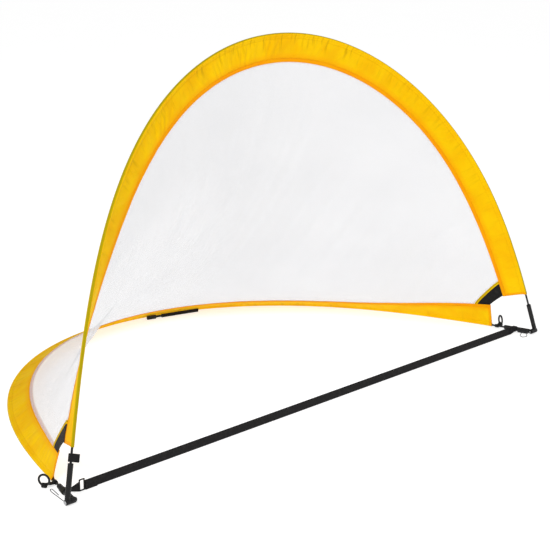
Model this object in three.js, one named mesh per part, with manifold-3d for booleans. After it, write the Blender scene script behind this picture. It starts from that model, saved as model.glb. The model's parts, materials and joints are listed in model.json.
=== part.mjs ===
// A pop-up sports goal: two springy rods bent into arches and hinged together at both ground corners.
// One arch lies on the ground behind the goal mouth, the other stands and leans back over it.
// A net runs between them, edged with cloth bands, and a strap on the ground joins the corners.
// X runs across the goal mouth, +Y into the goal and +Z up, with the ground at Z = 0. Millimetres.
import * as THREE from "three";
import { mergeVertices } from "three/addons/utils/BufferGeometryUtils.js";
import Module from "manifold-3d";

const wasm = await Module();
wasm.setup();

// ---------------------------------------------------------------- driving dimensions
const GOAL_WIDTH = 1830; // across the mouth, between the middles of the corner hinges
const END_SLOPE = THREE.MathUtils.degToRad(75); // of a bent rod at its ends, from the line between them
const LEAN = THREE.MathUtils.degToRad(14.4); // of the standing arch, back from upright
const HINGE_HEIGHT = 9.8; // hinge axis above the ground
const BOW = 36; // the standing arch's legs bow forward by this much, halfway up
const REAR_DIP = THREE.MathUtils.degToRad(0.24); // so that the rear cloth touches the ground at its middle
const NEST = 18; // the front arch stands this far outside the rear one, so that it folds over it

const ROD_RADIUS = 3;
const ROD_START = 24; // from the hinge axis to the end of the rod, inside its socket
const ARCH_STEPS = 44;
const NET_ROWS = 8;

const CHANNEL_RADIUS = 5.5; // the sewn channel round each rod
const CHANNEL_BORE = 3.6;
const CLOTH_GAP = 0.4; // between one sewn piece and the next
const NET_GAP = 1.4; // between a hem and the net, gusset or binding beside it
const CLOTH_THICKNESS = 1.6;
const CLOTH_LOFT = 0.3; // more on each side, in the middle of a band
const BAND_EDGE = 66; // the band runs this far from its rod, along the cloth
const HEM_EDGE = 76; // and the hem this far
const HEM_THICKNESS = 2.4;
const FRONT_TILT = THREE.MathUtils.degToRad(22); // of the front band out of its arch, towards the net
const FRONT_END_TWIST = THREE.MathUtils.degToRad(50); // and this much more at the arch's ends
const FRONT_TWIST_POWER = 6; // how closely the twist keeps to the ends
const REAR_TILT = THREE.MathUtils.degToRad(26);
const REAR_END_TWIST = THREE.MathUtils.degToRad(55);
const REAR_TWIST_POWER = 12;
const NET_THICKNESS = 1;
const NET_SAG = 0.85; // how far the net follows the bands' directions before it turns to the other arch
const CORNER_SAG = 0.2; // the same at the corners, where it is pulled straight
const SAG_START = 185; // along the front rod, where the net starts to sag
const SAG_REACH = 420; // and over what length it comes to its full sag
const FRONT_CLOTH_START = 130; // along the front rod from the hinge axis
const REAR_CLOTH_START = 135; // along the rear rod from the hinge axis
const GUSSET_HEIGHT = 47; // of the webbing across a corner, along the front rod
const GUSSET_SPREAD = 43; // and along the rear rod
const BINDING_WIDTH = 10;

const SOCKET_RADIUS = 7;
const SOCKET_LENGTH = 92;
const SOCKET_BORE = 3.7;
const EYE_RADIUS = 7.6;
const EYE_THICKNESS = 13.6;
const EYE_GAP = 0.4; // from the middle of the hinge to each eye
const FOOT_WIDTH = 8;
const FEET = [
  [12, 46],
  [70, 88],
]; // the two flat ribs under a rear socket, on either side of its lashing
const PIN_RADIUS = 2.5;
const PIN_BORE = 2.8;
const PIN_HEAD_RADIUS = 5;
const PIN_HEAD = 3;

const CORD_RADIUS = 1;
const CORD_TURNS = 5;
const CORD_MIDDLE = 58; // along the rear socket

const WEBBING = 25;
const WEBBING_THICKNESS = 2;
const STRAP_BACK = 45; // the ground strap lies this far behind the hinge line
const STRAP_BOTTOM = 0.5;
const STRAP_INSET_LEFT = 77; // from the hinge to the strap's left end
const STRAP_INSET_RIGHT = 64;
const TAIL_LENGTH = 36; // of the strap folded back on itself
const BUCKLE_HEIGHT = 31;
const BUCKLE_WIDTH = 17;
const BUCKLE_BAR = 3;
const BUCKLE_THICKNESS = 4;

const RING_RADIUS = 14; // to the middle of its section
const RING_SECTION = 3;
const RING_OUT = 29; // from the rear rod to the ring
const RING_ALONG = 118; // from the hinge axis, along the rear rod
const RING_HEIGHT = 21;
const RING_TURN = THREE.MathUtils.degToRad(45); // of a ring towards the front, in its twisted loop
const RING_LOOP_WIDTH = 12;

const TAB_START = 95; // along the front rod from the hinge axis
const TAB_HEIGHT = 20;
const TAB_REACH = 20;
const TAB_BACK = 7;
const TAB_THICKNESS = 8;

const STORAGE_X = 140; // middle of the storage buckle, right of the goal's middle
const STORAGE_WEBBING = 12;
const STORAGE_BUCKLE_LENGTH = 32;
const STORAGE_PLUG_LENGTH = 40;
const STORAGE_STRAP_LENGTH = 130;
const STORAGE_INSIDE = 28; // from the rear rod to the storage strap, towards the mouth

// ---------------------------------------------------------------- directions and bent rods
const UP = new THREE.Vector3(0, 0, 1);
const ACROSS_GOAL = new THREE.Vector3(1, 0, 0);
const FRONT_RISE = new THREE.Vector3(0, Math.sin(LEAN), Math.cos(LEAN));
const FRONT_NET_SIDE = new THREE.Vector3(0, Math.cos(LEAN), -Math.sin(LEAN)); // square to the front arch
const REAR_RISE = new THREE.Vector3(0, Math.cos(REAR_DIP), -Math.sin(REAR_DIP));
const REAR_NET_SIDE = new THREE.Vector3(0, Math.sin(REAR_DIP), Math.cos(REAR_DIP));

// A springy rod whose ends are pulled together: its slope falls as a cosine from one end to the other.
// Its legs bow away from the net.
class BentRod {
  constructor({ width, rise, netSide, bow, tilt, endTwist, twistPower }) {
    this.rise = rise;
    this.netSide = netSide;
    this.bow = bow;
    this.tilt = tilt;
    this.endTwist = endTwist;
    this.twistPower = twistPower;
    const pieces = 600;
    const run = [0];
    const climb = [0];
    for (let i = 0; i < pieces; i += 1) {
      const slope = END_SLOPE * Math.cos((Math.PI * (i + 0.5)) / pieces);
      run.push(run[i] + Math.cos(slope));
      climb.push(climb[i] + Math.sin(slope));
    }
    const scale = width / run[pieces];
    this.piece = scale;
    this.length = scale * pieces;
    this.run = run.map((value) => value * scale - width / 2);
    this.climb = climb.map((value) => value * scale);
    this.top = Math.max(...this.climb);
  }

  // The direction up the rod's curved surface at a climb.
  riseAt(climb) {
    const turn = ((-this.bow * Math.PI) / this.top) * Math.cos((Math.PI * climb) / this.top);
    return this.rise.clone().addScaledVector(this.netSide, turn).normalize();
  }

  // The point at a distance along the rod, with the rod's own three directions there.
  frame(distance) {
    const place = THREE.MathUtils.clamp(distance / this.piece, 0, this.run.length - 1.001);
    const i = Math.floor(place);
    const run = THREE.MathUtils.lerp(this.run[i], this.run[i + 1], place - i);
    const climb = THREE.MathUtils.lerp(this.climb[i], this.climb[i + 1], place - i);
    const endness = Math.cos((Math.PI * distance) / this.length);
    const slope = END_SLOPE * endness;
    const point = new THREE.Vector3(run, 0, HINGE_HEIGHT)
      .addScaledVector(this.rise, climb)
      .addScaledVector(this.netSide, -this.bow * Math.sin((Math.PI * climb) / this.top));
    const rise = this.riseAt(climb);
    const netSide = new THREE.Vector3().crossVectors(rise, ACROSS_GOAL);
    if (netSide.dot(this.netSide) < 0) netSide.negate();
    const along = ACROSS_GOAL.clone()
      .multiplyScalar(Math.cos(slope))
      .addScaledVector(rise, Math.sin(slope));
    const inside = ACROSS_GOAL.clone()
      .multiplyScalar(Math.sin(slope))
      .addScaledVector(rise, -Math.cos(slope));
    const tilt = this.tilt + this.endTwist * Math.abs(endness) ** this.twistPower;
    const across = inside.multiplyScalar(Math.cos(tilt)).addScaledVector(netSide, Math.sin(tilt));
    const out = new THREE.Vector3().crossVectors(along, across);
    if (out.dot(this.rise) < 0) out.negate();
    return { point, along, across, out };
  }

  // A point on the cloth: across it from the rod towards the net, and lifted off its outside.
  cloth(distance, across, lift) {
    const frame = this.frame(distance);
    return frame.point.addScaledVector(frame.across, across).addScaledVector(frame.out, lift);
  }
}

const frontRod = new BentRod({
  width: GOAL_WIDTH + NEST,
  rise: FRONT_RISE,
  netSide: FRONT_NET_SIDE,
  bow: BOW,
  tilt: FRONT_TILT,
  endTwist: FRONT_END_TWIST,
  twistPower: FRONT_TWIST_POWER,
});
const rearRod = new BentRod({
  width: GOAL_WIDTH - NEST,
  rise: REAR_RISE,
  netSide: REAR_NET_SIDE,
  bow: 0,
  tilt: REAR_TILT,
  endTwist: REAR_END_TWIST,
  twistPower: REAR_TWIST_POWER,
});

// ---------------------------------------------------------------- geometry helpers
// Moves every vertex by a map, and turns the faces out again if the map mirrors them.
function warp(geometry, map) {
  const flat = geometry.index ? geometry.toNonIndexed() : geometry;
  const position = flat.getAttribute("position");
  const vertex = new THREE.Vector3();
  for (let i = 0; i < position.count; i += 1) {
    vertex.fromBufferAttribute(position, i);
    const moved = map(vertex);
    position.setXYZ(i, moved.x, moved.y, moved.z);
  }
  if (signedVolume(position) < 0) {
    const spare = new THREE.Vector3();
    for (let i = 0; i < position.count; i += 3) {
      vertex.fromBufferAttribute(position, i + 1);
      spare.fromBufferAttribute(position, i + 2);
      position.setXYZ(i + 1, spare.x, spare.y, spare.z);
      position.setXYZ(i + 2, vertex.x, vertex.y, vertex.z);
    }
  }
  flat.computeVertexNormals();
  return flat;
}

function signedVolume(position) {
  const a = new THREE.Vector3();
  const b = new THREE.Vector3();
  const c = new THREE.Vector3();
  let volume = 0;
  for (let i = 0; i < position.count; i += 3) {
    a.fromBufferAttribute(position, i);
    b.fromBufferAttribute(position, i + 1);
    c.fromBufferAttribute(position, i + 2);
    volume += a.dot(b.cross(c)) / 6;
  }
  return volume;
}

function circle(radius) {
  return new THREE.Shape().absarc(0, 0, radius, 0, 2 * Math.PI);
}

function ring(outer, inner) {
  const shape = circle(outer);
  shape.holes.push(new THREE.Path().absarc(0, 0, inner, 0, 2 * Math.PI));
  return shape;
}

function rectangle(left, bottom, right, top) {
  return new THREE.Shape([
    new THREE.Vector2(left, bottom),
    new THREE.Vector2(right, bottom),
    new THREE.Vector2(right, top),
    new THREE.Vector2(left, top),
  ]);
}

// Two layers of cloth from one edge to the other, which stand a little apart in the middle.
function doubleCloth(left, right, half) {
  const columns = 4;
  const face = (side) =>
    Array.from({ length: columns + 1 }, (_, i) => {
      const share = i / columns;
      const apart = half + CLOTH_LOFT * Math.sin(Math.PI * share);
      return new THREE.Vector2(THREE.MathUtils.lerp(left, right, share), side * apart);
    });
  return new THREE.Shape([...face(-1), ...face(1).reverse()]);
}

// Even places along a rod, as far from one end as from the other.
function evenStations(rod, start) {
  const span = rod.length - 2 * start;
  return Array.from({ length: ARCH_STEPS + 1 }, (_, i) => start + (span * i) / ARCH_STEPS);
}

// A section swept along a rod through its stations, with the section's x across the cloth and its y
// off the cloth's outside.
function sweep(section, rod, stations) {
  const steps = stations.length - 1;
  const geometry = new THREE.ExtrudeGeometry(section, {
    depth: 1,
    steps,
    curveSegments: 4,
    bevelEnabled: false,
  });
  return warp(geometry, (v) => rod.cloth(stations[Math.round(v.z * steps)], v.x, v.y));
}

function sagAt(frontPlace) {
  const fromEnd = Math.min(frontPlace, frontRod.length - frontPlace);
  const share = THREE.MathUtils.smoothstep(fromEnd, SAG_START, SAG_START + SAG_REACH);
  return THREE.MathUtils.lerp(CORNER_SAG, NET_SAG, share);
}

// A point on a sheet that hangs between the two hems. It leaves each one in its band's direction.
function hanging(frontPlace, rearPlace, share, lift) {
  const edge = HEM_EDGE + NET_GAP;
  const start = frontRod.cloth(frontPlace, edge, lift);
  const end = rearRod.cloth(rearPlace, edge, lift);
  const pull = (sagAt(frontPlace) * start.distanceTo(end)) / 3;
  const startPull = start.clone().addScaledVector(frontRod.frame(frontPlace).across, pull);
  const endPull = end.clone().addScaledVector(rearRod.frame(rearPlace).across, pull);
  return new THREE.CubicBezierCurve3(start, startPull, endPull, end).getPoint(share);
}

// A sheet that bridges the two arches between two pairs of places on the rods.
function bridge(frontFrom, frontTo, rearFrom, rearTo, thickness, steps) {
  const geometry = new THREE.BoxGeometry(1, 1, 1, steps, NET_ROWS, 1).translate(0.5, 0.5, 0);
  return warp(geometry, (v) => {
    const frontPlace = THREE.MathUtils.lerp(frontFrom, frontTo, v.x);
    const rearPlace = THREE.MathUtils.lerp(rearFrom, rearTo, v.x);
    return hanging(frontPlace, rearPlace, v.y, v.z * thickness);
  });
}

function solidOf(geometry) {
  const bare = geometry.clone();
  bare.deleteAttribute("normal");
  bare.deleteAttribute("uv");
  const merged = mergeVertices(bare, 1e-4);
  return new wasm.Manifold(
    new wasm.Mesh({
      numProp: 3,
      vertProperties: new Float32Array(merged.getAttribute("position").array),
      triVerts: new Uint32Array(merged.index.array),
    }),
  );
}

function geometryOf(solid) {
  const mesh = solid.getMesh();
  const geometry = new THREE.BufferGeometry();
  geometry.setAttribute("position", new THREE.BufferAttribute(mesh.vertProperties, 3));
  geometry.setIndex(new THREE.BufferAttribute(mesh.triVerts, 1));
  geometry.computeVertexNormals();
  return geometry;
}

// A round bar between two points.
function bar(from, to, radius, sides = 16) {
  const line = new THREE.Vector3().subVectors(to, from);
  const turn = new THREE.Quaternion().setFromUnitVectors(
    new THREE.Vector3(0, 1, 0),
    line.clone().normalize(),
  );
  return new THREE.CylinderGeometry(radius, radius, line.length(), sides)
    .applyQuaternion(turn)
    .translate((from.x + to.x) / 2, (from.y + to.y) / 2, (from.z + to.z) / 2);
}

// Puts a geometry made about the origin at a place, with its x, y and z along three directions.
function place(geometry, origin, x, y, z) {
  const matrix = new THREE.Matrix4().makeBasis(x, y, z).setPosition(origin);
  return geometry.applyMatrix4(matrix);
}

function cord(points, steps) {
  return new THREE.ExtrudeGeometry(circle(CORD_RADIUS), {
    steps,
    curveSegments: 3,
    bevelEnabled: false,
    extrudePath: new THREE.CatmullRomCurve3(points),
  });
}

// ---------------------------------------------------------------- materials and naming
const LOOKS = {
  fibreglass: { color: 0x16161a, roughness: 0.35, metalness: 0 },
  moulded: { color: 0x1c1c1e, roughness: 0.5, metalness: 0 },
  steel: { color: 0x9a9c9e, roughness: 0.35, metalness: 0.9 },
  yellow: { color: 0xf9bc02, roughness: 0.75, metalness: 0 },
  channel: { color: 0xcdb80f, roughness: 0.75, metalness: 0 },
  orange: { color: 0xffa108, roughness: 0.75, metalness: 0 },
  net: { color: 0xf4f4f6, roughness: 0.9, metalness: 0 },
  webbing: { color: 0x201f1f, roughness: 0.85, metalness: 0 },
  cord: { color: 0x24241f, roughness: 0.8, metalness: 0 },
};

const goal = new THREE.Group();

function add(name, geometry, look) {
  const mesh = new THREE.Mesh(geometry, new THREE.MeshStandardMaterial(LOOKS[look]));
  mesh.name = name;
  goal.add(mesh);
  return mesh;
}

// ---------------------------------------------------------------- rods, channels, bands and hems
function addArch(name, rod, clothStart) {
  const half = CLOTH_THICKNESS / 2;
  const hem = HEM_THICKNESS / 2;
  const stations = evenStations(rod, clothStart);
  const nearEnd = [ROD_START, SOCKET_LENGTH];
  const farEnd = nearEnd.map((distance) => rod.length - distance).reverse();
  const rodStations = [...nearEnd, ...stations, ...farEnd];
  add(`${name}_rod`, sweep(circle(ROD_RADIUS), rod, rodStations), "fibreglass");
  add(`${name}_channel`, sweep(ring(CHANNEL_RADIUS, CHANNEL_BORE), rod, stations), "channel");
  const bandStart = CHANNEL_RADIUS + CLOTH_GAP;
  add(`${name}_band`, sweep(doubleCloth(bandStart, BAND_EDGE, half), rod, stations), "yellow");
  const hemStart = BAND_EDGE + CLOTH_GAP;
  add(`${name}_hem`, sweep(rectangle(hemStart, -hem, HEM_EDGE, hem), rod, stations), "orange");
}

addArch("front", frontRod, FRONT_CLOTH_START);
addArch("rear", rearRod, REAR_CLOTH_START);

// ---------------------------------------------------------------- net and corner gussets
const frontGussetEnd = FRONT_CLOTH_START + GUSSET_HEIGHT;
const rearGussetEnd = REAR_CLOTH_START + GUSSET_SPREAD;
const frontBinding = frontGussetEnd + CLOTH_GAP;
const rearBinding = rearGussetEnd + CLOTH_GAP;
const frontNet = frontBinding + BINDING_WIDTH + CLOTH_GAP;
const rearNet = rearBinding + BINDING_WIDTH + CLOTH_GAP;

add(
  "net",
  bridge(
    frontNet,
    frontRod.length - frontNet,
    rearNet,
    rearRod.length - rearNet,
    NET_THICKNESS,
    ARCH_STEPS,
  ),
  "net",
);

// A place on a rod, counted from the left end on the left side and from the right end on the right.
function fromCorner(rod, side, distance) {
  return side < 0 ? distance : rod.length - distance;
}

function rodPoint(side, rod, distance) {
  return rod.frame(fromCorner(rod, side, distance)).point;
}

function cornerSheet(side, frontFrom, frontTo, rearFrom, rearTo, thickness) {
  return bridge(
    fromCorner(frontRod, side, frontFrom),
    fromCorner(frontRod, side, frontTo),
    fromCorner(rearRod, side, rearFrom),
    fromCorner(rearRod, side, rearTo),
    thickness,
    1,
  );
}

// ---------------------------------------------------------------- hinge sockets
// The direction of a rod as it leaves the hinge on one side.
function leaving(side, rod) {
  return ACROSS_GOAL.clone()
    .multiplyScalar(-side * Math.cos(END_SLOPE))
    .addScaledVector(rod.riseAt(0), Math.sin(END_SLOPE));
}

function hingePoint(side, offset) {
  return new THREE.Vector3(side * (GOAL_WIDTH / 2 + offset), 0, HINGE_HEIGHT);
}

function onRod(side, rod, distance) {
  const offset = rod === frontRod ? NEST / 2 : -NEST / 2;
  return hingePoint(side, offset).addScaledVector(leaving(side, rod), distance);
}

// A moulded tube that takes the rod's end, with an eye for the hinge pin across its foot.
function socket(side, rod) {
  const outward = rod === frontRod ? 1 : -1;
  const eyeNear = hingePoint(side, outward * EYE_GAP);
  const eyeFar = hingePoint(side, outward * (EYE_GAP + EYE_THICKNESS));
  const on = (distance) => onRod(side, rod, distance);
  const tube = solidOf(bar(on(SOCKET_RADIUS), on(SOCKET_LENGTH), SOCKET_RADIUS));
  const eye = solidOf(bar(eyeNear, eyeFar, EYE_RADIUS, 20));
  const bore = solidOf(bar(on(ROD_START - 2), on(SOCKET_LENGTH + 1), SOCKET_BORE));
  const pinHole = solidOf(bar(hingePoint(side, -NEST), hingePoint(side, NEST), PIN_BORE));
  let body = tube.add(eye);
  if (rod === rearRod) {
    for (const [from, to] of FEET) body = body.add(foot(on(from), on(to)));
  }
  return geometryOf(body.subtract(bore).subtract(pinHole));
}

// A flat rib under a rear socket, which stands on the ground.
function foot(start, end) {
  const level = start.clone().setZ(end.z);
  const along = end.clone().sub(level).normalize();
  const height = HINGE_HEIGHT - SOCKET_BORE - 1;
  const middle = start.clone().lerp(end, 0.5).setZ(height / 2);
  const outward = new THREE.Vector3().crossVectors(along, UP);
  const box = new THREE.BoxGeometry(FOOT_WIDTH, start.distanceTo(end), height);
  return solidOf(place(box, middle, outward, along, UP));
}

// A round-headed rivet, pushed in from the outside of the corner.
function hingePin(side) {
  const shank = NEST + EYE_THICKNESS;
  const profile = [
    new THREE.Vector2(0, 0),
    new THREE.Vector2(PIN_HEAD_RADIUS * 0.7, 0),
    new THREE.Vector2(PIN_HEAD_RADIUS, PIN_HEAD * 0.5),
    new THREE.Vector2(PIN_HEAD_RADIUS, PIN_HEAD),
    new THREE.Vector2(PIN_RADIUS, PIN_HEAD),
    new THREE.Vector2(PIN_RADIUS, PIN_HEAD + shank),
    new THREE.Vector2(0, PIN_HEAD + shank),
  ];
  const start = hingePoint(side, EYE_GAP + EYE_THICKNESS + CLOTH_GAP + PIN_HEAD);
  const inward = new THREE.Vector3(-side, 0, 0);
  const turn = new THREE.Quaternion().setFromUnitVectors(new THREE.Vector3(0, 1, 0), inward);
  const geometry = new THREE.LatheGeometry(profile, 16).applyQuaternion(turn);
  return warp(geometry.translate(start.x, start.y, start.z), (v) => v);
}

// The push-on cap that holds the rivet's inner end.
function hingeCap(side) {
  const near = hingePoint(side, -(EYE_GAP + EYE_THICKNESS + CLOTH_GAP));
  const far = hingePoint(side, -(EYE_GAP + EYE_THICKNESS + CLOTH_GAP + PIN_HEAD));
  const blank = solidOf(bar(near, far, PIN_HEAD_RADIUS));
  const hole = solidOf(bar(hingePoint(side, -NEST * 2), hingePoint(side, 0), PIN_BORE));
  return geometryOf(blank.subtract(hole));
}

// ---------------------------------------------------------------- cords, rings and loops
// Cord lashed round a rear socket, which ties the ground strap to the corner.
function lashing(side) {
  const radius = SOCKET_RADIUS + CLOTH_GAP + CORD_RADIUS;
  const pitch = CORD_RADIUS * 2 + 0.8;
  const along = leaving(side, rearRod);
  const outward = new THREE.Vector3().crossVectors(along, UP).normalize();
  const middle = onRod(side, rearRod, CORD_MIDDLE);
  const points = [];
  const perTurn = 10;
  for (let i = 0; i <= CORD_TURNS * perTurn; i += 1) {
    const turn = i / perTurn;
    const angle = 2 * Math.PI * turn;
    const point = middle.clone().addScaledVector(along, (turn - CORD_TURNS / 2) * pitch);
    point.addScaledVector(outward, radius * Math.cos(angle));
    point.addScaledVector(UP, radius * Math.sin(angle));
    points.push(point);
  }
  return cord(points, CORD_TURNS * perTurn);
}

// Level and across a rear rod's end, pointing away from the goal.
function outboard(side) {
  const along = leaving(side, rearRod);
  return new THREE.Vector3(side * along.y, -side * along.x, 0).normalize();
}

// The direction that a ring's foot runs in, through its loop.
function ringFoot(side) {
  const facing = outboard(side).applyAxisAngle(UP, -side * RING_TURN);
  return new THREE.Vector3().crossVectors(UP, facing);
}

function pegRing(side) {
  const centre = rodPoint(side, rearRod, RING_ALONG)
    .addScaledVector(outboard(side), RING_OUT)
    .setZ(RING_HEIGHT);
  const foot = ringFoot(side);
  const third = new THREE.Vector3().crossVectors(foot, UP);
  return warp(
    place(new THREE.TorusGeometry(RING_RADIUS, RING_SECTION, 8, 20), centre, foot, UP, third),
    (v) => v,
  );
}

// A webbing loop with one eye round the rear rod and the other round the foot of the ring.
function ringLoop(side) {
  const out = outboard(side);
  const along = new THREE.Vector3().crossVectors(UP, out);
  const rodAt = rodPoint(side, rearRod, RING_ALONG);
  const ringAt = rodAt.clone().addScaledVector(out, RING_OUT).setZ(RING_HEIGHT - RING_RADIUS);
  const eye = (point, direction, radius, more = 0) => {
    const reach = direction.clone().multiplyScalar((RING_LOOP_WIDTH / 2) * (1 + more));
    return solidOf(bar(point.clone().sub(reach), point.clone().add(reach), radius, 18));
  };
  const foot = ringFoot(side);
  const middle = rodAt.clone().lerp(ringAt, 0.5);
  const web = solidOf(place(new THREE.BoxGeometry(RING_OUT, RING_LOOP_WIDTH, 4), middle, out, along, UP));
  const blank = eye(rodAt, along, 5.4).add(eye(ringAt, foot, 6.4)).add(web);
  return geometryOf(blank.subtract(eye(rodAt, along, 3.7, 1)).subtract(eye(ringAt, foot, 5, 1)));
}

// ---------------------------------------------------------------- corners
function addCorner(name, side) {
  add(`${name}_front_socket`, socket(side, frontRod), "moulded");
  add(`${name}_rear_socket`, socket(side, rearRod), "moulded");
  add(`${name}_hinge_pin`, hingePin(side), "steel");
  add(`${name}_hinge_cap`, hingeCap(side), "moulded");
  add(`${name}_lashing`, lashing(side), "cord");
  add(`${name}_peg_ring`, pegRing(side), "moulded");
  add(`${name}_ring_loop`, ringLoop(side), "webbing");
  add(
    `${name}_gusset`,
    cornerSheet(side, FRONT_CLOTH_START, frontGussetEnd, REAR_CLOTH_START, rearGussetEnd, CLOTH_THICKNESS),
    "webbing",
  );
  add(
    `${name}_binding`,
    cornerSheet(
      side,
      frontBinding,
      frontBinding + BINDING_WIDTH,
      rearBinding,
      rearBinding + BINDING_WIDTH,
      CLOTH_THICKNESS,
    ),
    "yellow",
  );
}

addCorner("left", -1);
addCorner("right", 1);

// Loops of thin cord that lie on the ground at the corners, for the ground pegs.
const loopHeight = CORD_RADIUS + 0.4;
const rearLeft = (distance, out) =>
  onRod(-1, rearRod, distance).addScaledVector(outboard(-1), out).setZ(loopHeight);
const rearRight = (distance, out) =>
  onRod(1, rearRod, distance).addScaledVector(outboard(1), out).setZ(loopHeight);

add(
  "left_peg_cord",
  cord([rearLeft(14, 15), rearLeft(50, 19), rearLeft(96, 22), rearLeft(103, 17), rearLeft(60, 14)], 20),
  "cord",
);
add(
  "right_peg_cord",
  cord([rearRight(30, -9), rearRight(26, -30), rearRight(14, -44), rearRight(4, -32), rearRight(12, -11)], 20),
  "cord",
);

// ---------------------------------------------------------------- ground strap
const strapMiddle = STRAP_BOTTOM + WEBBING / 2;
const strapLeft = -GOAL_WIDTH / 2 + STRAP_INSET_LEFT;
const strapRight = GOAL_WIDTH / 2 - STRAP_INSET_RIGHT;

function standingWebbing(from, to, fromHeight, toHeight, thickness, back) {
  const geometry = new THREE.BoxGeometry(1, 1, 1, 4, 1, 1);
  return warp(geometry, (v) => {
    const share = v.x + 0.5;
    const height = THREE.MathUtils.lerp(fromHeight, toHeight, share);
    return new THREE.Vector3(
      THREE.MathUtils.lerp(from, to, share),
      back + v.y * thickness,
      strapMiddle + v.z * height,
    );
  });
}

add(
  "ground_strap",
  standingWebbing(strapLeft, strapRight, WEBBING, WEBBING, WEBBING_THICKNESS, STRAP_BACK),
  "webbing",
);
add(
  "strap_tail",
  standingWebbing(
    strapLeft,
    strapLeft + TAIL_LENGTH,
    WEBBING,
    WEBBING,
    WEBBING_THICKNESS,
    STRAP_BACK - WEBBING_THICKNESS - CLOTH_GAP,
  ),
  "webbing",
);

function strapBuckle() {
  const shape = rectangle(-BUCKLE_WIDTH / 2, -BUCKLE_HEIGHT / 2, BUCKLE_WIDTH / 2, BUCKLE_HEIGHT / 2);
  const windowHalf = BUCKLE_WIDTH / 2 - BUCKLE_BAR;
  const windowTop = BUCKLE_HEIGHT / 2 - BUCKLE_BAR;
  shape.holes.push(
    new THREE.Path([
      new THREE.Vector2(-windowHalf, -windowTop),
      new THREE.Vector2(-windowHalf, windowTop),
      new THREE.Vector2(windowHalf, windowTop),
      new THREE.Vector2(windowHalf, -windowTop),
    ]),
  );
  const bevel = 0.8;
  const geometry = new THREE.ExtrudeGeometry(shape, {
    depth: BUCKLE_THICKNESS - 2 * bevel,
    bevelThickness: bevel,
    bevelSize: bevel,
    bevelOffset: -bevel,
    bevelSegments: 1,
  });
  geometry.translate(0, 0, -BUCKLE_THICKNESS / 2 + bevel);
  const x = strapLeft - CLOTH_GAP - BUCKLE_WIDTH / 2;
  const centre = new THREE.Vector3(x, STRAP_BACK, strapMiddle + 2.8);
  return place(geometry, centre, ACROSS_GOAL, UP, new THREE.Vector3(0, -1, 0));
}

add("strap_buckle", strapBuckle(), "moulded");

// How far along X a lashing reaches from the hinge, where the strap's links meet it.
const lashingReach = STRAP_BACK / Math.tan(END_SLOPE) + SOCKET_RADIUS + 2 * CORD_RADIUS + 2 * CLOTH_GAP;
const linkStart = GOAL_WIDTH / 2 - NEST / 2 - lashingReach - 0.6;
add(
  "left_strap_link",
  standingWebbing(
    -linkStart,
    strapLeft - BUCKLE_WIDTH - 2 * CLOTH_GAP,
    8,
    WEBBING,
    WEBBING_THICKNESS,
    STRAP_BACK,
  ),
  "webbing",
);
add(
  "right_strap_link",
  standingWebbing(strapRight + CLOTH_GAP, linkStart, WEBBING, 12, WEBBING_THICKNESS * 2, STRAP_BACK),
  "webbing",
);

// ---------------------------------------------------------------- tab on the left leg
// A cloth tab folded round the front rod, between its socket and the cloth.
function rodTab() {
  const along = leaving(-1, frontRod);
  const middle = rodPoint(-1, frontRod, TAB_START + TAB_HEIGHT / 2);
  const foot = middle.clone().addScaledVector(along, -TAB_HEIGHT / 2);
  const top = middle.clone().addScaledVector(along, TAB_HEIGHT / 2);
  const forward = new THREE.Vector3(1, -1, 0);
  forward.addScaledVector(along, -forward.dot(along)).normalize();
  const side = new THREE.Vector3().crossVectors(along, forward);
  const centre = middle.addScaledVector(forward, (TAB_REACH - TAB_BACK) / 2);
  const box = new THREE.BoxGeometry(TAB_REACH + TAB_BACK, TAB_THICKNESS, TAB_HEIGHT);
  const blank = solidOf(place(box, centre, forward, side, along));
  const end = along.clone().multiplyScalar(5);
  return geometryOf(blank.subtract(solidOf(bar(foot.sub(end), top.add(end), SOCKET_BORE))));
}

add("rod_tab", rodTab(), "webbing");

// ---------------------------------------------------------------- storage strap and its buckle
// The strap stands on the ground just inside the rear rod. Its buckle is to its left.
function rearDistanceAt(x) {
  let near = 0;
  let far = rearRod.length;
  for (let i = 0; i < 40; i += 1) {
    const middle = (near + far) / 2;
    if (rearRod.frame(middle).point.x < x) near = middle;
    else far = middle;
  }
  return near;
}

const storage = rearRod.frame(rearDistanceAt(STORAGE_X + STORAGE_STRAP_LENGTH / 2));
const storageInward = new THREE.Vector3().crossVectors(storage.along, UP);
const storageOrigin = storage.point
  .clone()
  .addScaledVector(storageInward, STORAGE_INSIDE)
  .addScaledVector(storage.along, -STORAGE_STRAP_LENGTH / 2)
  .setZ(STRAP_BOTTOM + STORAGE_WEBBING / 2);

function storagePart(from, to, thickness, height) {
  const geometry = new THREE.BoxGeometry(to - from, height, thickness);
  geometry.translate((from + to) / 2, 0, 0);
  return place(geometry, storageOrigin, storage.along, UP, storageInward);
}

const buckleHalf = STORAGE_BUCKLE_LENGTH / 2;
const plugTongue = 16;
const tongue = 3;

// The buckle is a box with a slot for the plug's tongue, open to its right.
function storageBuckle() {
  const shell = solidOf(storagePart(-buckleHalf, buckleHalf, 8, STORAGE_WEBBING));
  const slot = storagePart(buckleHalf - plugTongue - 2, buckleHalf + 5, tongue + 1, STORAGE_WEBBING - 4);
  return geometryOf(shell.subtract(solidOf(slot)));
}

function storagePlug() {
  const blade = storagePart(
    buckleHalf - plugTongue,
    buckleHalf - plugTongue + STORAGE_PLUG_LENGTH,
    tongue,
    STORAGE_WEBBING - 5,
  );
  const cross = storagePart(
    buckleHalf - plugTongue + STORAGE_PLUG_LENGTH - 4,
    buckleHalf - plugTongue + STORAGE_PLUG_LENGTH,
    6,
    STORAGE_WEBBING,
  );
  return geometryOf(solidOf(blade).add(solidOf(cross)));
}

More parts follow.
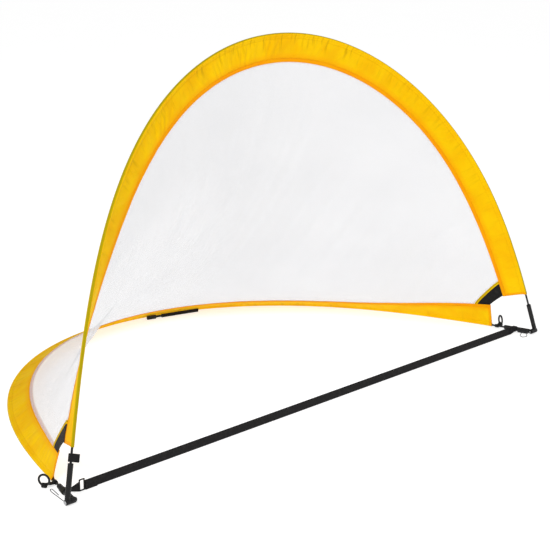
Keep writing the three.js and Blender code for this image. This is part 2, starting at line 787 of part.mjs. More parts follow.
const storageStrapStart = buckleHalf - plugTongue + STORAGE_PLUG_LENGTH + CLOTH_GAP;
const storageStrapEnd = storageStrapStart + STORAGE_STRAP_LENGTH;
add("storage_buckle", storageBuckle(), "moulded");
add("storage_plug", storagePlug(), "moulded");
add(
  "storage_strap",
  storagePart(storageStrapStart, storageStrapEnd, WEBBING_THICKNESS, STORAGE_WEBBING),
  "webbing",
);

// ---------------------------------------------------------------- origin
// The goal stands with the middle of its footprint at the origin.
const box = new THREE.Box3().setFromObject(goal);
const footprint = box.getCenter(new THREE.Vector3());
goal.position.set(-footprint.x, -footprint.y, -box.min.z);

export default goal;
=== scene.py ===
import json
import math

import bmesh
import bpy
import numpy as np
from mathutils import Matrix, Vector


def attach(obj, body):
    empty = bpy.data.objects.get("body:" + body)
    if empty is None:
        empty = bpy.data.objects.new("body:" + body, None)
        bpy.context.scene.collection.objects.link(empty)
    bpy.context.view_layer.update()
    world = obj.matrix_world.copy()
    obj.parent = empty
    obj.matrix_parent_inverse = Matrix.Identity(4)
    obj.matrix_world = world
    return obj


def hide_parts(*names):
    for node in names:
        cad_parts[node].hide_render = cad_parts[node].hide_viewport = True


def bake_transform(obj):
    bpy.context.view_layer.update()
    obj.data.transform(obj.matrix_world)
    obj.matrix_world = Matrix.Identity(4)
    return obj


# A pop-up goal: two sprung rods in yellow cloth sleeves, hinged at the ground corners, with a fine white
# net hung between their hems. X runs across the mouth, +Y into the goal, +Z up, and lengths are in metres.
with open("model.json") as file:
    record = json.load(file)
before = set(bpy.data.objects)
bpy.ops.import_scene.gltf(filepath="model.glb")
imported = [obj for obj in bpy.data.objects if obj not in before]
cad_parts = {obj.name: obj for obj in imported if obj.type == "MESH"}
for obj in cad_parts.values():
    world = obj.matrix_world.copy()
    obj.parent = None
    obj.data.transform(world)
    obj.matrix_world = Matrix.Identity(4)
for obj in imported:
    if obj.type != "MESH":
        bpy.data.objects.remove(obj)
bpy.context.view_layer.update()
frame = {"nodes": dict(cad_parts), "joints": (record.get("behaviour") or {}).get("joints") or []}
nodes = frame["nodes"]
fold = next(joint for joint in frame["joints"] if joint["name"] == "arch_fold")

MM = 0.001
HINGE = np.array(fold["pos_m"])
GOAL_WIDTH = 1830 * MM  # between the middles of the corner hinges
NEST = 18 * MM  # the front arch stands this far outside the rear one
END_SLOPE = math.radians(75)  # of a bent rod at its ends
LEAN = math.radians(14.4)  # of the standing arch, back from upright
BOW = 36 * MM  # its legs bow forward by this much, halfway up
REAR_DIP = math.radians(0.24)
# A band's tilt from its rod's plane, its extra twist at the ends, and how late that twist comes in.
FRONT_TILT, FRONT_TWIST, FRONT_POWER = math.radians(22), math.radians(50), 6
REAR_TILT, REAR_TWIST, REAR_POWER = math.radians(26), math.radians(55), 12

ROD_RADIUS = 3 * MM
ROD_START = 24 * MM
FRONT_START = 130 * MM  # along the front rod, from the hinge to its sleeve
REAR_START = 135 * MM
STITCH_LINE = 9.5 * MM  # from the rod's middle to the seam that closes its channel
BAND_EDGE = 66 * MM
HEM_START, HEM_EDGE = 64.6 * MM, 76 * MM
HEM_HALF = 1.1 * MM
CLOTH_HALF = 0.3 * MM
GUSSET_FRONT, GUSSET_REAR = 47 * MM, 43 * MM
BINDING = 10 * MM
SEWING_GAP = 0.4 * MM
NET_SAG, CORNER_SAG = 0.85, 0.2
SAG_START, SAG_REACH = 185 * MM, 420 * MM
FRONT_DENT, REAR_DENT = 1, 0  # share of a dent's depth kept; the ground and storage strap hold the rear up
PUCKER_LENGTH, CREASE_LENGTH = 11 * MM, 45 * MM
STATION_SPACING = 3.6 * MM


# ---------------------------------------------------------------- numbers
def smooth(t):
    t = np.clip(t, 0, 1)
    return t * t * (3 - 2 * t)


def mix(a, b, t):
    return a + (b - a) * t


def unit(v):
    return v / np.linalg.norm(v, axis=-1, keepdims=True)


def ripple(u, v, size_u, size_v, seed):
    """Smooth noise from -1 to 1, with bumps of about size_u by size_v."""
    field = np.random.default_rng(seed).uniform(-1, 1, (251, 61))
    x, y = np.broadcast_arrays(np.asarray(u) / size_u, np.asarray(v) / size_v)
    i, j = np.floor(x).astype(int), np.floor(y).astype(int)
    a, b = smooth(x - i), smooth(y - j)
    near = mix(field[i % 251, j % 61], field[(i + 1) % 251, j % 61], a)
    far = mix(field[i % 251, (j + 1) % 61], field[(i + 1) % 251, (j + 1) % 61], a)
    return mix(near, far, b)


# ---------------------------------------------------------------- the two bent rods
class BentRod:
    """A springy rod whose slope falls as a cosine from one end to the other."""

    def __init__(self, width, rise, net_side, bow, tilt, twist, power, start, dent, seed):
        pieces = 600
        slope = END_SLOPE * np.cos(np.pi * (np.arange(pieces) + 0.5) / pieces)
        run = np.concatenate([[0], np.cumsum(np.cos(slope))])
        climb = np.concatenate([[0], np.cumsum(np.sin(slope))])
        self.scale = width / run[-1]
        self.length = self.scale * pieces
        self.run = run * self.scale - width / 2
        self.climb = climb * self.scale
        self.top = self.climb.max()
        self.rise, self.net_side = np.array(rise), np.array(net_side)
        self.bow, self.tilt, self.twist, self.power = bow, tilt, twist, power
        self.start, self.dent, self.seed = start, dent, seed

    def frame(self, distance):
        """The rod's middle, its direction, and the cloth's directions across and outwards."""
        distance = np.asarray(distance, float)
        count = np.arange(len(self.run))
        run = np.interp(distance / self.scale, count, self.run)[..., None]
        climb = np.interp(distance / self.scale, count, self.climb)[..., None]
        endness = np.cos(np.pi * distance / self.length)[..., None]
        slope = END_SLOPE * endness
        x = np.array([1.0, 0, 0])
        arc = np.pi * climb / self.top
        point = HINGE + x * run + self.rise * climb - self.net_side * self.bow * np.sin(arc)
        rise = unit(self.rise - self.net_side * self.bow * np.pi / self.top * np.cos(arc))
        net_side = np.cross(rise, x)
        net_side = net_side * np.sign(net_side @ self.net_side)[..., None]
        along = x * np.cos(slope) + rise * np.sin(slope)
        inside = x * np.sin(slope) - rise * np.cos(slope)
        tilt = self.tilt + self.twist * np.abs(endness) ** self.power
        across = inside * np.cos(tilt) + net_side * np.sin(tilt)
        out = np.cross(along, across)
        out = np.where((out @ self.rise)[..., None] < 0, -out, out)
        return point, along, across, out

    def pucker(self, distance, across):
        """How far the cloth lifts where the sleeve is gathered round the bend."""
        seam = 0.25 + 0.75 * smooth((across - STITCH_LINE) / (10 * MM))
        hem = 1 - 0.8 * smooth((across - 40 * MM) / (26 * MM))
        top = np.exp(-(((distance / self.length - 0.5) / 0.22) ** 2))
        slant = distance + across * ripple(distance, 0, 0.2, 1, self.seed + 9)
        fine = ripple(slant, across, PUCKER_LENGTH, 50 * MM, self.seed)
        broad = ripple(slant, across, CREASE_LENGTH, 80 * MM, self.seed + 1)
        gathered = (0.9 + 1.6 * top) * fine + 2.4 * broad
        gathered = np.where(gathered < 0, gathered * self.dent, gathered)
        return gathered * seam * hem * smooth(across / STITCH_LINE) * MM

    def cloth(self, distance, across, lift):
        """A point on the cloth, across it from the rod and lifted off its outside."""
        point, _, sideways, out = self.frame(distance)
        lift = lift + self.pucker(distance, across)
        return point + sideways * np.asarray(across)[..., None] + out * np.asarray(lift)[..., None]

    def stations(self, spacing):
        count = int((self.length - 2 * self.start) / spacing)
        return np.linspace(self.start, self.length - self.start, count)

    def from_end(self, distance):
        return np.minimum(distance, self.length - distance) - self.start


front = BentRod(GOAL_WIDTH + NEST, (0, math.sin(LEAN), math.cos(LEAN)), (0, math.cos(LEAN), -math.sin(LEAN)),
                BOW, FRONT_TILT, FRONT_TWIST, FRONT_POWER, FRONT_START, FRONT_DENT, 11)
rear = BentRod(GOAL_WIDTH - NEST, (0, math.cos(REAR_DIP), -math.sin(REAR_DIP)),
               (0, math.sin(REAR_DIP), math.cos(REAR_DIP)), 0, REAR_TILT, REAR_TWIST, REAR_POWER,
               REAR_START, REAR_DENT, 47)


# ---------------------------------------------------------------- mesh building
def mesh_object(name, points, faces, look, pattern=None):
    """A smooth closed mesh. pattern holds each point's place on its cloth, for the material."""
    mesh = bpy.data.meshes.new(name)
    mesh.from_pydata([tuple(p) for p in np.reshape(points, (-1, 3))], [], faces)
    if pattern is not None:
        attribute = mesh.attributes.new("cloth", "FLOAT_VECTOR", "POINT")
        attribute.data.foreach_set("vector", np.asarray(pattern, np.float32).ravel())
    shape = bmesh.new()
    shape.from_mesh(mesh)
    bmesh.ops.recalc_face_normals(shape, faces=shape.faces)
    shape.to_mesh(mesh)
    shape.free()
    mesh.polygons.foreach_set("use_smooth", [True] * len(mesh.polygons))
    piece = bpy.data.objects.new(name, mesh)
    bpy.context.scene.collection.objects.link(piece)
    mesh.materials.append(look)
    return piece


def ring_faces(rings, count):
    """Quads between rings of count points each, one ring after another."""
    faces = []
    for i in range(rings - 1):
        here, there = i * count, (i + 1) * count
        for k in range(count):
            j = (k + 1) % count
            faces.append((here + k, here + j, there + j, there + k))
    return faces


def sweep(name, rod, stations, outline, look, rod_and_shade):
    """A closed outline of (across, lift) swept along a rod. The outline goes out and comes back, so that
    its first half faces its second half."""
    across, lift = outline[:, 0], outline[:, 1]
    count = len(outline)
    s, a = np.meshgrid(stations, across, indexing="ij")
    points = rod.cloth(s, a, np.broadcast_to(lift, s.shape))
    pattern = np.stack([rod.from_end(s), a, np.broadcast_to(rod_and_shade, s.shape)], -1)
    faces = ring_faces(len(stations), count)
    last = (len(stations) - 1) * count
    for start in (0, last):
        for k in range(count // 2 - 1):
            faces.append((start + k, start + k + 1, start + count - 2 - k, start + count - 1 - k))
    return mesh_object(name, points, faces, look, pattern)


def thick_sheet(name, middle, half, look, pattern):
    """A closed sheet of even thickness about a grid of points."""
    rows, columns = middle.shape[:2]
    normal = unit(np.cross(np.gradient(middle, axis=0), np.gradient(middle, axis=1)))
    points = np.concatenate([middle + normal * half, middle - normal * half]).reshape(-1, 3)
    pattern = np.concatenate([pattern, pattern]).reshape(-1, 3)
    under = rows * columns
    faces = []
    for i in range(rows - 1):
        for j in range(columns - 1):
            a, b = i * columns + j, (i + 1) * columns + j
            faces.append((a, b, b + 1, a + 1))
            faces.append((under + a, under + a + 1, under + b + 1, under + b))
    edge = [(0, j) for j in range(columns)] + [(i, columns - 1) for i in range(1, rows)]
    edge += [(rows - 1, j) for j in range(columns - 2, -1, -1)] + [(i, 0) for i in range(rows - 2, 0, -1)]
    ids = [i * columns + j for i, j in edge]
    for a, b in zip(ids, ids[1:] + ids[:1]):
        faces.append((a, b, under + b, under + a))
    return mesh_object(name, points, faces, look, pattern)


def tube(name, path, radius, sides, look):
    """A round bar along a path that doesn't start upright, with rounded ends."""
    along = unit(np.gradient(path, axis=0))
    side = np.cross(along[0], [0, 0, 1.0])
    rings, pattern = [], []
    travelled = np.concatenate([[0], np.cumsum(np.linalg.norm(np.diff(path, axis=0), axis=1))])
    angle = np.linspace(0, 2 * np.pi, sides, endpoint=False)
    steps = [(0, -0.9, 0.3), (0, -0.6, 0.75)]
    steps += [(i, 0, 1) for i in range(len(path))]
    steps += [(len(path) - 1, 0.6, 0.75), (len(path) - 1, 0.9, 0.3)]
    for i, beyond, size in steps:
        side = unit(side - along[i] * (side @ along[i]))
        other = np.cross(along[i], side)
        middle = path[i] + along[i] * beyond * radius
        around = np.outer(np.cos(angle), side) + np.outer(np.sin(angle), other)
        rings.append(middle + around * radius * size)
        pattern.append(np.stack([np.full(sides, travelled[i]), angle, np.zeros(sides)], -1))
    faces = ring_faces(len(rings), sides)
    faces.append(tuple(range(sides)))
    faces.append(tuple(range((len(rings) - 1) * sides, len(rings) * sides)))
    return mesh_object(name, np.array(rings), faces, look, np.array(pattern))


def softened(name, node, look, voxel, rounds=6):
    """The CAD solid of a node, remeshed finely and eased, so that its corners are moulded or sewn ones."""
    mesh = nodes[node].data.copy()
    mesh.name = name
    mesh.materials.clear()
    mesh.materials.append(look)
    piece = bpy.data.objects.new(name, mesh)
    bpy.context.scene.collection.objects.link(piece)
    remesh = piece.modifiers.new("remesh", "REMESH")
    remesh.mode, remesh.voxel_size, remesh.use_smooth_shade = "VOXEL", voxel, True
    ease = piece.modifiers.new("ease", "SMOOTH")
    ease.factor, ease.iterations = 0.5, rounds
    evaluated = piece.evaluated_get(bpy.context.evaluated_depsgraph_get())
    piece.data = bpy.data.meshes.new_from_object(evaluated)
    piece.modifiers.clear()
    piece.data.materials.clear()
    piece.data.materials.append(look)
    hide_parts(node)
    return piece


# ---------------------------------------------------------------- materials
class Look:
    """A node material being put together. Each call adds a node and gives back its output."""

    def __init__(self, name):
        self.material = bpy.data.materials.new(name)
        self.material.use_nodes = True
        self.tree = self.material.node_tree
        self.shader = self.tree.nodes["Principled BSDF"]
        self.output = self.tree.nodes["Material Output"]

    def node(self, kind, result=0, settings=None, **inputs):
        made = self.tree.nodes.new(kind)
        for key, value in (settings or {}).items():
            setattr(made, key, value)
        for key, value in inputs.items():
            socket = made.inputs[int(key[1:])] if key[1:].isdigit() else made.inputs[key.replace("_", " ")]
            self.feed(socket, value)
        return made.outputs[result]

    def feed(self, socket, value):
        if isinstance(value, bpy.types.NodeSocket):
            self.tree.links.new(value, socket)
        elif isinstance(value, tuple) and len(value) == 3 and socket.type == "RGBA":
            socket.default_value = (*value, 1)
        else:
            socket.default_value = value

    def math(self, operation, a, b=0.0, c=0.0):
        return self.node("ShaderNodeMath", settings={"operation": operation}, _0=a, _1=b, _2=c)

    def band(self, value, low, high):
        """0 below low and 1 above high, as a number that can mix two colours."""
        return self.node("ShaderNodeMapRange", settings={"interpolation_type": "SMOOTHSTEP"},
                         Value=value, From_Min=low, From_Max=high)

    def blend(self, share, a, b):
        return self.node("ShaderNodeMix", result=2, settings={"data_type": "RGBA"}, _0=share, _6=a, _7=b)

    def noise(self, scale, detail=3.0, vector=None, rough=0.5):
        inputs = {"Scale": scale, "Detail": detail, "Roughness": rough}
        if vector is not None:
            inputs["Vector"] = vector
        return self.node("ShaderNodeTexNoise", **inputs)

    def place(self):
        """A point's own place in the object's frame."""
        return self.node("ShaderNodeTexCoord", result=3)

    def cloth(self):
        """A point's place on its cloth: along it, across it, and how much the dark rod showing through and
        painted shade darken it.
        """
        vector = self.node("ShaderNodeAttribute", result=1, settings={"attribute_name": "cloth"})
        split = self.tree.nodes.new("ShaderNodeSeparateXYZ")
        self.tree.links.new(vector, split.inputs[0])
        return split.outputs[0], split.outputs[1], split.outputs[2]

    def wave(self, value, length):
        """A sine from -1 to 1 with this wavelength."""
        return self.math("SINE", self.math("MULTIPLY", value, 2 * math.pi / length))

    def weave(self, along, across, pitch):
        """The bumps of a plain weave."""
        return self.math("MULTIPLY", self.wave(along, pitch), self.wave(across, pitch))

    def stitches(self, along, across, line, pitch):
        """1 on the thread of a row of stitches that runs along a line."""
        near = self.math("LESS_THAN", self.math("ABSOLUTE", self.math("SUBTRACT", across, line)), 0.45 * MM)
        dash = self.math("GREATER_THAN", self.wave(along, pitch), -0.45)
        return self.math("MULTIPLY", near, dash)

    def bump(self, height, distance, strength=1.0, under=None):
        inputs = {"Height": height, "Distance": distance, "Strength": strength}
        if under is not None:
            inputs["Normal"] = under
        return self.node("ShaderNodeBump", **inputs)

    def finish(self, colour, roughness, normal=None, **others):
        self.feed(self.shader.inputs["Base Color"], colour)
        self.feed(self.shader.inputs["Roughness"], roughness)
        if normal is not None:
            self.feed(self.shader.inputs["Normal"], normal)
        for key, value in others.items():
            self.feed(self.shader.inputs[key.replace("_", " ")], value)
        return self.material


def srgb(*screen):
    """A screen colour, from 0 to 255, as the linear one that a shader takes."""
    return tuple(c / 255 / 12.92 if c < 11 else ((c / 255 + 0.055) / 1.055) ** 2.4 for c in screen)


YELLOW, DEEP_YELLOW = srgb(255, 207, 0), srgb(252, 194, 0)
# The olive is the dark rod showing through the channel, with painted shade on its outer turn.
ORANGE, ROD_AND_SHADE_OLIVE = srgb(255, 163, 0), srgb(176, 158, 8)


def cloth_look(name, base, shade, thread_lines, sleeve=False, fold_shade_line=None):
    """Woven polyester with rows of stitches. A sleeve has doubled ends, gathers round its bend with painted
    shade in their streaks, and the dark rod showing through its channel with painted shade on the channel's
    outer turn. A fold line, where given, is a line of painted shade."""
    look = Look(name)
    along, across, rod_and_shade = look.cloth()
    patch = look.noise(14.0, 4.0, look.place())
    colour = look.blend(look.band(patch, 0.35, 0.7), base, shade)
    if sleeve:
        shade_streak = look.noise(1.0, 3.0, look.node("ShaderNodeCombineXYZ", X=look.math("MULTIPLY", along, 85.0),
                                                Y=look.math("MULTIPLY", across, 14.0)))
        gather = look.math("MULTIPLY", look.band(shade_streak, 0.5, 0.72),
                           look.math("SUBTRACT", 1.0, look.band(across, 12 * MM, 58 * MM)))
        gather = look.math("MULTIPLY", gather, look.node("ShaderNodeMapRange", Value=along, From_Min=0.3,
                                                         From_Max=1.2, To_Min=0.12, To_Max=0.6))
        # Painted shade: darker streaks where the sleeve gathers round its bend, stronger towards the middle
        # and fading towards the hem.
        colour = look.blend(gather, colour, srgb(196, 152, 0))
        doubled = look.math("SUBTRACT", 1.0, look.band(along, 8 * MM, 9.5 * MM))
        colour = look.blend(look.math("MULTIPLY", doubled, 0.7), colour, ORANGE)
        near_hem = look.band(across, 46 * MM, 64 * MM)
        colour = look.blend(look.math("MULTIPLY", near_hem, 0.45), colour, ORANGE)
        # Olive on the channel's outer turn: partly the dark rod showing through, partly painted shade.
        colour = look.blend(rod_and_shade, colour, ROD_AND_SHADE_OLIVE)
    # Painted shade: a darker olive line along the binding's fold.
    if fold_shade_line:
        away = look.math("ABSOLUTE", look.math("SUBTRACT", along, fold_shade_line))
        fold = look.math("LESS_THAN", away, 1.4 * MM)
        colour = look.blend(fold, colour, srgb(176, 150, 20))
    threads = 0.0
    for line in thread_lines:
        threads = look.math("MAXIMUM", threads, look.stitches(along, across, line, 3.2 * MM))
    colour = look.blend(look.math("MULTIPLY", threads, 0.45), colour, srgb(214, 140, 0))
    crease = look.noise(70.0, 5.0, look.place(), 0.6)
    normal = look.bump(crease, 0.9 * MM, 0.35)
    normal = look.bump(look.weave(along, across, 0.9 * MM), 0.05 * MM, 0.5, normal)
    normal = look.bump(threads, 0.3 * MM, 0.8, normal)
    look.finish(colour, look.node("ShaderNodeMapRange", Value=patch, To_Min=0.55, To_Max=0.75), normal,
                Specular_IOR_Level=0.06)
    through = look.node("ShaderNodeBsdfTranslucent", Color=colour, Normal=normal)
    mixed = look.node("ShaderNodeMixShader", _0=0.15, _1=look.shader.outputs[0], _2=through)
    look.tree.links.new(mixed, look.output.inputs["Surface"])
    return look.material


def net_look():
    """Fine white knitted mesh that lets most of the view through its holes."""
    look = Look("white_net")
    along, across, _ = look.cloth()
    lattice = look.math("MULTIPLY", look.wave(along, 2.4 * MM), look.wave(across, 2.4 * MM))
    hole = look.band(look.math("ABSOLUTE", lattice), 0.12, 0.5)
    patch = look.noise(5.0, 2.0, look.place())
    colour = look.blend(patch, srgb(224, 224, 227), srgb(236, 236, 238))
    cover = look.node("ShaderNodeMapRange", Value=hole, To_Min=0.6, To_Max=0.26)
    normal = look.bump(lattice, 0.15 * MM, 0.4)
    return look.finish(colour, 0.8, normal, Alpha=cover, Specular_IOR_Level=0.2)


def webbing_look():
    """Black nylon webbing: lengthwise ribs crossed by a fine weft, paler where it has rubbed, with a painted
    highlight on the weft's crests.
    """
    look = Look("gusset_webbing")
    along, across, _ = look.cloth()
    ribs = look.math("ABSOLUTE", look.wave(across, 4.2 * MM))
    weft = look.wave(look.math("ADD", along, look.math("MULTIPLY", ribs, 0.5 * MM)), 1.3 * MM)
    height = look.math("ADD", ribs, look.math("MULTIPLY", weft, 0.4))
    worn = look.noise(90.0, 5.0, look.place(), 0.65)
    pale = srgb(38, 37, 37)
    colour = look.blend(look.band(worn, 0.5, 0.8), srgb(17, 16, 17), pale)
    # Painted highlight: the crests of the weft are lightened with the pale colour.
    colour = look.blend(look.math("MULTIPLY", look.band(weft, 0.4, 1.0), 0.25), colour, pale)
    return look.finish(colour, 0.72, look.bump(height, 0.35 * MM, 0.8), Specular_IOR_Level=0.2)


def sewn_look():
    """The same webbing on small folded pieces, whose weave follows the object's own directions."""
    look = Look("black_tape")
    place = look.place()
    weave = look.node("ShaderNodeTexWave", result=1, settings={"bands_direction": "DIAGONAL"},
                      Vector=place, Scale=420.0, Distortion=1.5, Detail=2.0)
    worn = look.noise(160.0, 5.0, place, 0.65)
    colour = look.blend(look.band(worn, 0.45, 0.8), srgb(17, 16, 17), srgb(40, 38, 38))
    return look.finish(colour, 0.75, look.bump(weave, 0.3 * MM, 0.6), Specular_IOR_Level=0.2)


def cord_look(name, dark, fleck, share):
    """Braided cord: two sets of strands that cross, with pale tracer threads."""
    look = Look(name)
    along, angle, _ = look.cloth()
    turn = look.math("MULTIPLY", angle, 3 / (2 * math.pi))
    pitch = look.math("DIVIDE", along, 5 * MM)
    left = look.math("SINE", look.math("MULTIPLY", look.math("ADD", pitch, turn), 2 * math.pi))
    right = look.math("SINE", look.math("MULTIPLY", look.math("SUBTRACT", pitch, turn), 2 * math.pi))
    braid = look.math("MULTIPLY", left, right)
    speck = look.noise(600.0, 2.0, look.place())
    tracer = look.math("MULTIPLY", look.band(braid, 0.05, 0.4), look.band(speck, 0.62 - share, 0.72 - share))
    return look.finish(look.blend(tracer, dark, fleck), 0.7, look.bump(braid, 0.25 * MM, 0.8),
                       Specular_IOR_Level=0.2)


def moulded_look():
    """Black moulded plastic with a fine grain, rubbed a little paler in patches."""
    look = Look("moulded_plastic")
    place = look.place()
    rubbed = look.noise(110.0, 6.0, place, 0.6)
    grain = look.noise(2600.0, 2.0, place)
    colour = look.blend(look.band(rubbed, 0.5, 0.75), srgb(15, 15, 16), srgb(30, 30, 31))
    rough = look.node("ShaderNodeMapRange", Value=rubbed, To_Min=0.38, To_Max=0.6)
    return look.finish(colour, rough, look.bump(grain, 0.05 * MM, 0.5), Specular_IOR_Level=0.3)


def rod_look():
    """Black fibreglass, smooth in its resin, with faint lengthwise fibres."""
    look = Look("fibreglass")
    along, angle, _ = look.cloth()
    fibre = look.noise(9.0, 4.0, look.node("ShaderNodeCombineXYZ", X=look.math("MULTIPLY", along, 6.0),
                                          Y=look.math("MULTIPLY", angle, 3.0)))
    colour = look.blend(fibre, srgb(12, 12, 14), srgb(26, 26, 28))
    return look.finish(colour, 0.32, look.bump(fibre, 0.05 * MM, 0.3), Specular_IOR_Level=0.35)


def steel_look():
    """Zinc-plated steel, dulled and finely scratched."""
    look = Look("plated_steel")
    place = look.place()
    dull = look.noise(300.0, 5.0, place, 0.7)
    colour = look.blend(dull, srgb(150, 151, 153), srgb(196, 196, 198))
    rough = look.node("ShaderNodeMapRange", Value=dull, To_Min=0.25, To_Max=0.5)
    return look.finish(colour, rough, look.bump(look.noise(1500.0, 3.0, place), 0.03 * MM, 0.4), Metallic=1.0)


SLEEVE = cloth_look("yellow_cloth", YELLOW, DEEP_YELLOW, [STITCH_LINE + 1 * MM], sleeve=True)
HEM = cloth_look("orange_hem", ORANGE, srgb(255, 174, 0), [66.4 * MM, 74.6 * MM])
BIND = cloth_look("yellow_binding", srgb(243, 200, 0), srgb(226, 184, 0), [], fold_shade_line=7 * MM)
NET = net_look()
GUSSET = webbing_look()
TAPE = sewn_look()
CORD = cord_look("black_cord", srgb(24, 24, 24), srgb(70, 69, 66), 0.0)
WOUND = cord_look("wound_cord", srgb(46, 44, 38), srgb(160, 156, 136), 0.3)
PLASTIC = moulded_look()
ROD = rod_look()
STEEL = steel_look()


# ---------------------------------------------------------------- which body each piece moves with
def fold_with_arches(piece):
    """Cloth between the arches: bakes the piece's place into its mesh and reads its points relative to the
    hinges, but doesn't turn them.
    """
    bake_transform(piece)
    points = np.zeros(len(piece.data.vertices) * 3)
    piece.data.vertices.foreach_get("co", points)
    points = points.reshape(-1, 3) - HINGE


def ride(piece, body, slot, *stands_for):
    """A stiff piece on one body. A softened one already stands for its CAD node."""
    if stands_for:
        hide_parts(*stands_for)
    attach(piece, body)


def hang(piece, slot, *stands_for):
    """A piece of cloth that hangs between the arches, for the CAD nodes that it stands for."""
    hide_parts(*stands_for)
    fold_with_arches(piece)


# ---------------------------------------------------------------- rods, sleeves and hems
def doubled(path, half):
    """A path's closed outline at half a thickness either side: out along one side, back along the other."""
    along = unit(np.gradient(path, axis=0))
    normal = np.stack([-along[:, 1], along[:, 0]], -1) * half
    return np.concatenate([path + normal, (path - normal)[::-1]])


def sleeve_outline():
    """Cloth folded once round the rod, its two layers lying together from the seam to the hem."""
    layer = 0.45 * MM
    wrap = ROD_RADIUS + 1.5 * MM
    flat = np.linspace(BAND_EDGE, STITCH_LINE, 12)
    angle = np.radians(np.linspace(36, 324, 13))
    upper = np.stack([flat, np.full(12, layer)], -1)
    around = np.stack([np.cos(angle), np.sin(angle)], -1) * wrap
    path = np.concatenate([upper, around, (upper * [1, -1])[::-1]])
    # How much the dark rod shows through and painted shade falls, strongest on the channel's outer turn.
    rod_and_shade = np.concatenate([np.zeros(12), smooth((-np.cos(angle) - 0.35) / 0.5), np.zeros(12)])
    return doubled(path, CLOTH_HALF), np.concatenate([rod_and_shade, rod_and_shade[::-1]])


def hem_outline():
    """Tape folded over the band's edge."""
    flat = np.linspace(HEM_START + HEM_HALF, HEM_EDGE - HEM_HALF, 6)
    upper = np.stack([flat, np.full(6, HEM_HALF)], -1)
    nose = np.radians([60, 30])
    ahead = np.stack([HEM_EDGE - HEM_HALF + HEM_HALF * np.cos(nose), HEM_HALF * np.sin(nose)], -1)
    tail = nose[::-1]
    behind = np.stack([HEM_START + HEM_HALF - HEM_HALF * np.cos(tail), HEM_HALF * np.sin(tail)], -1)
    half = np.concatenate([behind, upper, ahead])
    return np.concatenate([half, (half * [1, -1])[::-1]])


def add_arch(name, rod, body):
    """A rod with its sleeve and its hem."""
    ends = np.linspace(ROD_START, rod.length - ROD_START, 240)
    bar = tube(f"{name}_rod_bar", rod.frame(ends)[0], ROD_RADIUS, 16, ROD)
    ride(bar, body, "fibreglass", f"{name}_rod")
    stations = rod.stations(STATION_SPACING)
    outline, rod_and_shade = sleeve_outline()
    sleeve = sweep(f"{name}_sleeve", rod, stations, outline, SLEEVE, rod_and_shade)
    hang(sleeve, "yellow", f"{name}_channel", f"{name}_band")
    hem = sweep(f"{name}_hem_tape", rod, stations, hem_outline(), HEM, 0)
    hang(hem, "orange", f"{name}_hem")


add_arch("front", front, "front_arch")
add_arch("rear", rear, "ground_frame")


# ---------------------------------------------------------------- net, gussets and bindings
def hanging_grid(front_places, rear_places, rows, lift, lap=0.0):
    """Points of a sheet between the hems, lapped over each hem by lap. It leaves each hem in the band's
    direction and sags between them, but hardly at all near the corners."""
    start = front.cloth(front_places, np.full_like(front_places, HEM_EDGE), lift)
    end = rear.cloth(rear_places, np.full_like(rear_places, HEM_EDGE), lift)
    from_end = np.minimum(front_places, front.length - front_places)
    sag = mix(CORNER_SAG, NET_SAG, smooth((from_end - SAG_START) / SAG_REACH))[:, None]
    pull = sag * np.linalg.norm(end - start, axis=-1, keepdims=True) / 3
    start_pull = start + front.frame(front_places)[2] * pull
    end_pull = end + rear.frame(rear_places)[2] * pull
    t = np.linspace(0, 1, rows)[None, :, None]
    hung = (start[:, None] * (1 - t) ** 3 + 3 * start_pull[:, None] * t * (1 - t) ** 2
            + 3 * end_pull[:, None] * t * t * (1 - t) + end[:, None] * t ** 3)
    if not lap:
        return hung
    over = np.linspace(HEM_EDGE - lap, HEM_EDGE - lap / 4, 4)
    fronts = np.stack([front.cloth(front_places, np.full_like(front_places, a), lift) for a in over], 1)
    rears = np.stack([rear.cloth(rear_places, np.full_like(rear_places, a), lift) for a in over[::-1]], 1)
    return np.concatenate([fronts, hung, rears], 1)


def sheet_pattern(grid):
    """Each point's distance along and across its sheet."""
    along = np.linalg.norm(np.gradient(grid, axis=0), axis=-1).cumsum(0)
    across = np.linalg.norm(np.gradient(grid, axis=1), axis=-1).cumsum(1)
    along = np.broadcast_to(along.mean(1, keepdims=True), along.shape)
    return np.stack([along, across, np.zeros_like(along)], -1)


def add_net():
    """The net, lapped over both hems, with fine gathers and a little slack."""
    begin_front = front.start + GUSSET_FRONT + BINDING + 2 * SEWING_GAP
    begin_rear = rear.start + GUSSET_REAR + BINDING + 2 * SEWING_GAP
    columns = 260
    fronts = np.linspace(begin_front, front.length - begin_front, columns)
    rears = np.linspace(begin_rear, rear.length - begin_rear, columns)
    grid = hanging_grid(fronts, rears, 70, HEM_HALF + 0.5 * MM, 9 * MM)
    pattern = sheet_pattern(grid)
    normal = unit(np.cross(np.gradient(grid, axis=0), np.gradient(grid, axis=1)))
    along, across = pattern[..., 0], pattern[..., 1]
    rows = grid.shape[1]
    free = np.sin(np.pi * np.clip((np.arange(rows) - 4) / (rows - 9), 0, 1))[None, :]
    gather = ripple(along, across, 30 * MM, 400 * MM, 5) * 1.6 + ripple(along, across, 0.16, 0.3, 6) * 5
    grid = grid + normal * (gather * free * MM)[..., None]
    hang(thick_sheet("hung_net", grid, 0.25 * MM, NET, pattern), "net", "net")


def corner_places(rod, side, from_place, to_place, count):
    """Places along a rod, measured from its end at this side."""
    places = np.linspace(from_place, to_place, count)
    return places if side == "left" else rod.length - places


